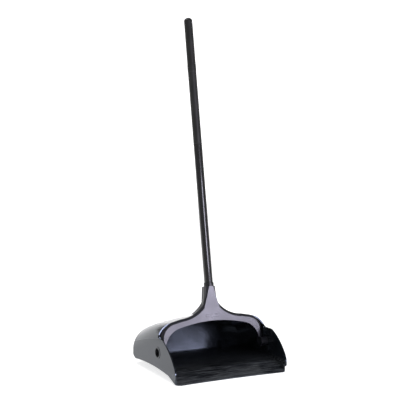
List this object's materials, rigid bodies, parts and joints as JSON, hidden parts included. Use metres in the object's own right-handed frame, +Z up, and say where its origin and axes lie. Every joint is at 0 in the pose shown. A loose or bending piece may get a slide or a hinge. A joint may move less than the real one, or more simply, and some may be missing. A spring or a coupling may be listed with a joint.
{
  "type": "upright dust pan",
  "caption": "Upright dust pan: a hooded pan with a thin lip, on rear wheels, hinged to a bail yoke that carries a tall tube handle.",
  "frame": {"origin": "on the floor, midway across the pan and midway between its lip and its back", "axes": "+Z up, the pan's mouth faces -Y, X runs across the pan, parallel to the hinge"},
  "size_m": [0.3236, 0.288, 0.9201],
  "materials": {
    "pan_plastic": "satin moulded polypropylene",
    "yoke_plastic": "satin moulded polypropylene",
    "plaque_plastic": "satin",
    "pin_plastic": "satin",
    "washer_nylon": "plain",
    "collar_plastic": "gloss",
    "plug_plastic": "plain",
    "tube_paint": "gloss black coating",
    "grip_vinyl": "matte sleeve",
    "ring_plastic": "satin",
    "wheel_nylon": "plain",
    "steel": "plated"
  },
  "bodies": {
    "pan": {"pan_body": "pan_plastic", "axle_left": "steel", "axle_right": "steel", "axle_clips": "steel"},
    "handle": {"yoke": "yoke_plastic", "yoke_plaque": "plaque_plastic", "pivot_pin_left": "pin_plastic", "pivot_pin_right": "pin_plastic", "pivot_washer_left": "washer_nylon", "pivot_washer_right": "washer_nylon", "socket_collar": "collar_plastic", "socket_screw": "steel", "tube_plug": "plug_plastic", "handle_tube": "tube_paint", "grip_lower": "grip_vinyl", "grip_ring": "ring_plastic", "grip_upper": "grip_vinyl", "end_cap": "ring_plastic"},
    "wheel_left": {"wheel_left": "wheel_nylon"},
    "wheel_right": {"wheel_right": "wheel_nylon"}
  },
  "joints": [
    {"name": "yoke_pivot", "type": "hinge", "parent": "pan", "child": "handle", "pos_m": [0, -0.0345, 0.0605], "axis": [1, 0, 0], "range_deg": [0, 90]},
    {"name": "wheel_left_spin", "type": "hinge", "parent": "pan", "child": "wheel_left", "pos_m": [-0.103, 0.112, 0.011], "axis": [1, 0, 0], "continuous": true},
    {"name": "wheel_right_spin", "type": "hinge", "parent": "pan", "child": "wheel_right", "pos_m": [0.103, 0.112, 0.011], "axis": [1, 0, 0], "continuous": true}
  ]
}
